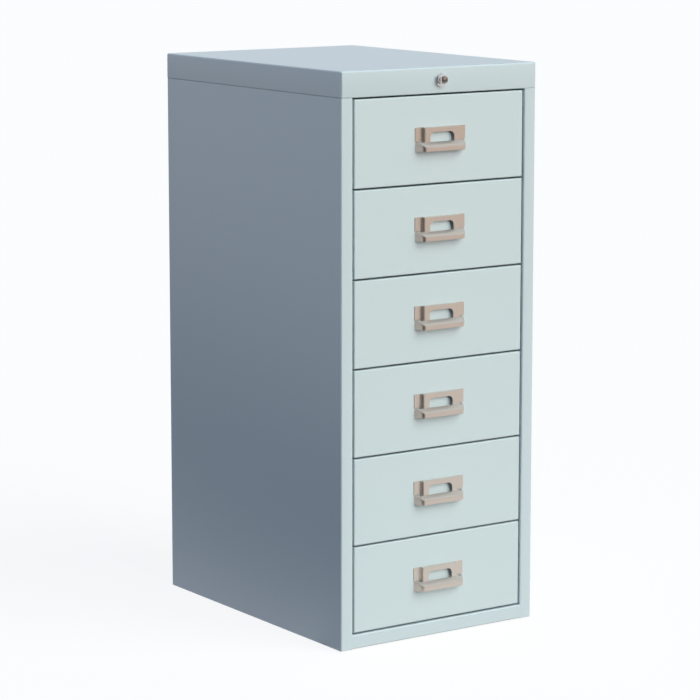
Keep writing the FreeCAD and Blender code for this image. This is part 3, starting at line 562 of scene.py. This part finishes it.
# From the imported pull's top down to the hood and to the ears' foot, and how far the hood's top
# falls outwards.
HOOD_DROP, EAR_DROP, HOOD_FALL = 18.1 * MM, 17.7 * MM, 4.2 * MM
# The pull ends lower at its top and lower at the hood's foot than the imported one, and the hood's
# ends lean out towards the face by the flare.
TOP_TRIM, HOOD_MORE, HOOD_FLARE = 1.0 * MM, 1.6 * MM, 6.0 * MM
# How far pieces of the pull reach into their neighbours.
EAR_TUCK, FRAME_TUCK, BEND_TUCK, BEND_SINK = 0.4 * MM, 0.3 * MM, 0.2 * MM, 0.3 * MM
# The hood's top is this many sheets thick, measured upright.
HOOD_THICKNESS = 1.2


def arch(half, low, top, radius):
    """Up the left side, round a corner, along the top, round a corner and down the right side. Each
    side has a point half-way up."""
    middle = (low + top - radius) / 2
    return np.concatenate([
        np.array([[-half, low], [-half, middle]]),
        arc((-half + radius, top - radius), radius, 180, 90, steps=8),
        np.array([[0, top]]),
        arc((half - radius, top - radius), radius, 90, 0, steps=8),
        np.array([[half, middle], [half, low]]),
    ])


def add_frame(skin, top, foot, face):
    """The raised frame round the label window: a closed section carried along an arch. The section
    goes over the window's edge, across the flat band, round the bend and down to the face, and back
    inside."""
    bend, thin, soft = FRAME_BEND, PULL_SHEET, WINDOW_SOFT
    near, window_top = soft * SOFT_MIDDLE, top - WINDOW_BAND

    def from_window(out, stand):
        return arch(WINDOW_HALF + out, foot, window_top + out, WINDOW_CORNER + out), stand

    def from_outline(inset, stand):
        corner = max(FRAME_CORNER - inset, FRAME_INNER)
        return arch(FRAME_HALF - inset, foot, top - inset, corner), stand

    section = [from_window(0, FRAME_STAND - thin), from_window(0, FRAME_STAND - soft),
               from_window(near, FRAME_STAND - near), from_window(soft, FRAME_STAND),
               from_window(WINDOW_FLAT, FRAME_STAND), from_outline(bend + FLAT_RING, FRAME_STAND)]
    section += [from_outline(inset, stand)
                for inset, stand in arc((bend, FRAME_STAND - bend), bend, 90, 180)]
    section += [from_outline(0, 0), from_outline(thin, 0), from_outline(thin, FRAME_STAND - thin)]
    path = np.stack([points for points, stand in section])
    stand = np.array([stand for points, stand in section])[:, None]
    points = flat_coordinates(path[..., 0], path[..., 1], face - stand)
    skin.grid(np.concatenate([points, points[:1]]))
    for end in (0, -1):
        skin.patch(points[:, end])


def add_ear(skin, side, low, high, face):
    """A flat ear: rounded rectangles that shrink towards the edge of its front face."""
    inner, soft = FRAME_HALF - EAR_TUCK, EAR_SOFT
    profile = [(0, 0), (0, PULL_SHEET - soft)]
    profile += arc((soft, PULL_SHEET - soft), soft, 180, 90, steps=3).tolist()
    profile.append((EAR_FLAT, PULL_SHEET))
    levels = [(inset, face - level) for inset, level in profile]
    half = ((EAR_END - inner) / 2, (high - low) / 2)
    centre = (side * (inner + EAR_END) / 2, (low + high) / 2)
    add_pressing(skin, levels, half, centre, EAR_CORNER, flat_coordinates)


def add_foot_bend(skin, side, low, high, face):
    """The hollow bend where an ear turns up into the frame: a quarter circle that touches both."""
    inner, outer = FRAME_HALF - BEND_TUCK, FRAME_HALF + FOOT_BEND
    sunk, risen = PULL_SHEET - BEND_SINK, PULL_SHEET + FOOT_BEND
    hollow = arc((outer, risen), FOOT_BEND, 180, 270)
    across, out = np.concatenate([hollow, [(outer, sunk), (inner, sunk), (inner, risen)]]).T
    ends = np.array([low, high])[:, None]
    skin.closed_grid(flat_coordinates(side * across, ends, face - out))


def hood_plan(half, reach, radius):
    """Out from the face at the left, round a corner, across, round a corner and back to the face.
    Each point is moved out sideways by the flare times how far it is from the front, as a share."""
    plan = np.concatenate([
        np.array([[-half, 0], [-half, FRAME_STAND]]),
        arc((radius - half, reach - radius), radius, 180, 90, steps=10),
        np.array([[0, reach]]),
        arc((half - radius, reach - radius), radius, 90, 0, steps=10),
        np.array([[half, FRAME_STAND], [half, 0]]),
    ])
    plan[:, 0] += np.sign(plan[:, 0]) * HOOD_FLARE * (1 - plan[:, 1] / reach)
    return plan


def add_hood(skin, top, low, reach, face, offset):
    """One face of the hood, offset inwards by the sheet for the inner one. A skirt follows the
    plan, and at its top it turns in by an arc, which meets the top face. That falls evenly from the
    frame's plane outwards, and behind that plane the hood is open."""
    half, reach_here = HOOD_HALF - offset, reach - offset
    radius, brow = HOOD_CORNER - offset, HOOD_BROW - offset
    slope = HOOD_FALL / (reach - FRAME_STAND)
    crown = top - HOOD_THICKNESS * offset

    def ring(inset, drop):
        plan = hood_plan(half - inset, reach_here - inset, radius - inset)
        height = crown - slope * np.maximum(plan[:, 1] - FRAME_STAND, 0) - drop
        return flat_coordinates(plan[:, 0], height, face - plan[:, 1])

    foot = ring(0, 0)
    foot[:, 2] = low
    rings = [foot]
    rings += [ring(inset, brow - rise) for inset, rise in arc((brow, 0), brow, 180, 90)]
    rings.append(ring(brow + FLAT_RING, 0))
    points = np.stack(rings)
    skin.grid(points)
    skin.patch(points[-1, 1:-1])
    return points


def close_hood(skin, outer, inner):
    """Strips between the hood's two faces: round the foot, at the face and along the open top."""
    skin.grid(np.stack([outer[0], inner[0]]))
    for end in (0, -1):
        skin.grid(np.stack([outer[:, end], inner[:, end]]))
    for edge in ([0, 1], [1, -2], [-2, -1]):
        skin.grid(np.stack([outer[-1, edge], inner[-1, edge]]))


def make_pull(number):
    """The pull: two ears, the raised frame with its window, and the hood for the fingers. All its
    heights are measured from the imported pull's box."""
    node = "drawer_%d_pull" % number
    low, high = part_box(node)
    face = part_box("drawer_%d_front" % number)[0].y
    reach = face - low.y
    top, foot = high.z - TOP_TRIM, low.z - HOOD_MORE
    hood_top = high.z - HOOD_DROP
    skin = Skin()
    add_frame(skin, top, hood_top - FRAME_TUCK, face)
    for side in (-1, 1):
        add_ear(skin, side, high.z - EAR_DROP, top, face)
        add_foot_bend(skin, side, high.z - EAR_DROP, top, face)
    outer = add_hood(skin, hood_top, foot, reach, face, 0)
    inner = add_hood(skin, hood_top, foot, reach, face, PULL_SHEET)
    close_hood(skin, outer, inner)
    skin.make("drawer_%d_handle" % number, "drawer_%d" % number, "pull_nickel", node)


for number in range(1, DRAWERS + 1):
    make_front(number)
    make_pull(number)


# Lock

# Radii of the case: its bore, the boss in front, the bezel against the cap and the part behind it.
BORE, BOSS, BEZEL, BARREL = 4.3 * MM, 6.6 * MM, 7.8 * MM, 5.5 * MM
BOSS_SOFT, BEZEL_THICK, BEZEL_SOFT = 1.1 * MM, 1.8 * MM, 0.9 * MM
# Radii of the plug and its tail, and how far in front of the plug's end the tail begins.
PLUG, PLUG_TAIL, TAIL_LENGTH = 4.2 * MM, 5 * MM, 2.9 * MM
# Distances behind the plug's front: the rim, the face's edge and middle, and the keyway's bottom.
PLUG_RIM, PLUG_FACE, PLUG_DISH, KEYWAY_DEPTH = 0.7 * MM, 0.5 * MM, 1.6 * MM, 9 * MM
# How wide the slope at the rim is. Half the keyway's width and height, and the depth over which
# its mouth opens to this many times that size.
PLUG_SOFT = 0.4 * MM
KEYWAY_HALF, KEYWAY_RISE, KEYWAY_SOFT, KEYWAY_FLARE = 0.8 * MM, 3.2 * MM, 0.12 * MM, 1.05


def make_lock_case(centre):
    """The case: its section goes out from the bore round the boss's two soft edges, back to the
    bezel and round it, and back along the barrel."""
    low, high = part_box("lock_housing")
    tip, skirt, back = low.y, cap_low.y, high.y
    edge = (BOSS - BOSS_SOFT, tip + BOSS_SOFT)
    profile = [(BORE, back)]
    profile += arc(edge, BOSS_SOFT, 180, 360, steps=16).tolist()
    profile.append((BOSS, skirt - BEZEL_THICK))
    profile += arc((BEZEL - BEZEL_SOFT, skirt - BEZEL_SOFT), BEZEL_SOFT, 270, 360).tolist()
    profile += [(BEZEL, skirt), (BARREL, skirt), (BARREL, back), (BORE, back)]
    skin = Skin()
    add_turned(skin, profile, centre)
    skin.make("lock_case", "carcass", "lock_chrome", "lock_housing")


def make_lock_plug(centre):
    """The plug: a dished face round its keyway, a rim, and a thicker tail. The keyway is a
    rectangle: 1 / max(|cos a| / half its width, |sin a| / half its height) from the middle."""
    low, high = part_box("lock_plug")
    front, end = low.y, high.y
    shoulder, way = end - TAIL_LENGTH, circle()
    reach = 1 / np.maximum(np.abs(way[:, 0]) / KEYWAY_HALF, np.abs(way[:, 1]) / KEYWAY_RISE)
    keyway = way * reach[:, None]
    rings = [(keyway, front + KEYWAY_DEPTH), (keyway, front + PLUG_DISH + KEYWAY_SOFT),
             (keyway * KEYWAY_FLARE, front + PLUG_DISH),
             (way * (PLUG - PLUG_SOFT), front + PLUG_FACE), (way * PLUG, front + PLUG_RIM),
             (way * PLUG, shoulder), (way * PLUG_TAIL, shoulder), (way * PLUG_TAIL, end)]
    skin = Skin()
    skin.closed_grid(np.stack([
        flat_coordinates(ring[:, 0] + centre[0], ring[:, 1] + centre[1], level)
        for ring, level in rings
    ]))
    skin.make("lock_barrel", "lock_core", "lock_chrome", "lock_plug")


lock_centre = half_and_centre(*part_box("lock_housing"), UPRIGHT_AXES)[1]
make_lock_case(lock_centre)
make_lock_plug(lock_centre)


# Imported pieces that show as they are

for part in frame["record"]["subparts"]:
    mesh = frame["nodes"][part["node"]].data
    mesh.materials.clear()
    mesh.materials.append(finishes[part["material_slot"]])


# Floor, lamp and sky

# The lamp's power and colour, the way its light goes, and how broad it is in degrees.
KEY_POWER, KEY_COLOUR = 3.27, (0.93, 1.0, 0.917)
KEY_WAY, KEY_ANGLE = (-0.36, 0.79, -0.50), 60
# What dull surfaces get from the sky and the floor, and what mirrors see there.
SKY_GIVEN, SKY_MIRRORED = (0, 0.087, 0.253, 1), (0.965, 0.965, 0.965, 1)
FLOOR_RETURN, FLOOR_MIRRORED = (0.162, 0.156, 0.127, 1), (0.85, 0.85, 0.85, 1)
# What the camera sees of the floor: a share of even glow, and for the rest paint that takes shadow.
FLOOR_GLOW, FLOOR_GLOW_SHARE, FLOOR_HALF = 1.04, 0.86, 150
# Ways along which the mirrored floor and sky change.
CAMERA_SIDE, LEFT, AHEAD, UP = (-0.57, -0.82, 0), (-1, 0, 0), (0, -1, 0), (0, 0, 1)
# Tints of the mirrored floor and sky.
FAR_FLOOR, LEFT_FLOOR = (0.80, 0.50, 0.38, 1), (0.2, 0.2, 0.2, 1)
FRONT_SKY, HIGH_SKY = (0.70, 0.68, 0.67, 1), (0.72, 0.76, 0.82, 1)
DARK = (0.04, 0.035, 0.03, 1)
# Where each tint of the floor begins and is full, in metres along its way. The dark one also needs
# a direction from the middle within a range of cosines.
FAR_FLOOR_SPAN, DARK_FLOOR_SPAN, DARK_FLOOR_COSINES = (1.1, 3.2), (0.45, 0.75), (0.78, 0.92)
LEFT_FLOOR_START, LEFT_FLOOR_END, LEFT_FLOOR_FRONT = (0.1, 0.6), (0.7, 1.4), (0, 0.2)
# Cosines of the angles from its way at which each tint of the sky begins and is full.
DARK_SKY_COSINES, FRONT_SKY_COSINES, HIGH_SKY_COSINES = (0.6, 0.88), (-0.3, 0.1), (0.2, 0.7)


def by_ray(board, given, mirrored, seen):
    """One shader for the light that dull surfaces get, one for mirrors, and one for the camera,
    also through glass."""
    through = board.node("LightPath", {}, {}, "Is Transmission Ray")
    direct = board.math("MINIMUM", board.node("LightPath", {}, {}, "Is Camera Ray") + through, 1.0)
    glossy = board.node("LightPath", {}, {}, "Is Glossy Ray")
    return board.blend(direct, board.blend(glossy, given, mirrored), seen)


def ramp_along(board, spot, way, span):
    """The distance of the spot along the way, as 0 up to the span's start and 1 from its end on."""
    along = board.node("VectorMath", {"operation": "DOT_PRODUCT"}, {0: spot, 1: way}, 1)
    return board.node("MapRange", {}, {"Value": along, "From Min": span[0], "From Max": span[1]})


def tinted(board, share, colour, tint):
    """The colour where the share is 0, and the colour times the tint where the share is 1."""
    return board.mix(share, colour, board.mix(1.0, colour, tint, "MULTIPLY"))


def set_floor():
    """A pale floor. Seen directly it is white but for a part of the object's shadow, and it throws
    back less light than it seems to. Mirrored in the object it is warmer far ahead, nearly black on
    the camera's side, and dark in a band to the left that fades out towards the fronts."""
    board, finish = new_finish("studio_floor")
    spot = board.place()
    way = board.node("VectorMath", {"operation": "NORMALIZE"}, {0: spot})
    pale = board.mix(board.noise(spot, 3.0), (0.98, 0.98, 0.98, 1), WHITE)
    pale = board.node("BsdfDiffuse", {}, {"Color": pale})
    glow = board.node("Emission", {}, {"Color": WHITE, "Strength": FLOOR_GLOW})
    far = ramp_along(board, spot, AHEAD, FAR_FLOOR_SPAN)
    dark = (ramp_along(board, way, CAMERA_SIDE, DARK_FLOOR_COSINES)
            * ramp_along(board, spot, CAMERA_SIDE, DARK_FLOOR_SPAN))
    beside = (ramp_along(board, spot, LEFT, LEFT_FLOOR_START)
              * (1.0 - ramp_along(board, spot, LEFT, LEFT_FLOOR_END))
              * (1.0 - ramp_along(board, spot, AHEAD, LEFT_FLOOR_FRONT)))
    colour = tinted(board, far, FLOOR_MIRRORED, FAR_FLOOR)
    colour = tinted(board, dark, colour, DARK)
    colour = tinted(board, beside, colour, LEFT_FLOOR)
    surface = by_ray(board, board.node("BsdfDiffuse", {}, {"Color": FLOOR_RETURN}),
                     board.node("Emission", {}, {"Color": colour, "Strength": 1.0}),
                     board.blend(FLOOR_GLOW_SHARE, pale, glow))
    board.node("OutputMaterial", {}, {"Surface": surface})
    corners = [(-FLOOR_HALF, -FLOOR_HALF, 0), (FLOOR_HALF, -FLOOR_HALF, 0),
               (FLOOR_HALF, FLOOR_HALF, 0), (-FLOOR_HALF, FLOOR_HALF, 0)]
    mesh = bpy.data.meshes.new("floor")
    mesh.from_pydata(corners, [], [(0, 1, 2, 3)])
    mesh.materials.append(finish)
    floor = bpy.data.objects.new("floor", mesh)
    bpy.context.scene.collection.objects.link(floor)


def set_lights():
    """One very broad lamp from the right in front, which mirrors don't see, and the sky. The camera
    sees the sky white, and dull surfaces get a dim blue light from it. Mirrored in the object it is
    white behind, nearly black on the camera's side, and dimmer in front, a little bluer high up."""
    lamp = bpy.data.lights.new("soft_key", "SUN")
    lamp.energy = KEY_POWER
    lamp.color = KEY_COLOUR
    lamp.angle = math.radians(KEY_ANGLE)
    key = bpy.data.objects.new("soft_key", lamp)
    key.rotation_mode = "QUATERNION"
    key.rotation_quaternion = Vector(KEY_WAY).to_track_quat("-Z", "Y")
    key.visible_glossy = False
    bpy.context.scene.collection.objects.link(key)
    world = bpy.data.worlds.new("studio")
    bpy.context.scene.world = world
    board = Board(world)
    way = board.place()
    front = board.mix(ramp_along(board, way, UP, HIGH_SKY_COSINES), FRONT_SKY, HIGH_SKY)
    dark = ramp_along(board, way, CAMERA_SIDE, DARK_SKY_COSINES)
    colour = tinted(board, dark, SKY_MIRRORED, DARK)
    colour = tinted(board, ramp_along(board, way, AHEAD, FRONT_SKY_COSINES), colour, front)
    given, mirrored, seen = [board.node("Background", {}, {"Color": tint, "Strength": 1.0})
                             for tint in (SKY_GIVEN, colour, WHITE)]
    board.node("OutputWorld", {}, {"Surface": by_ray(board, given, mirrored, seen)})


set_floor()
set_lights()
bpy.context.scene.view_settings.view_transform = "Standard"
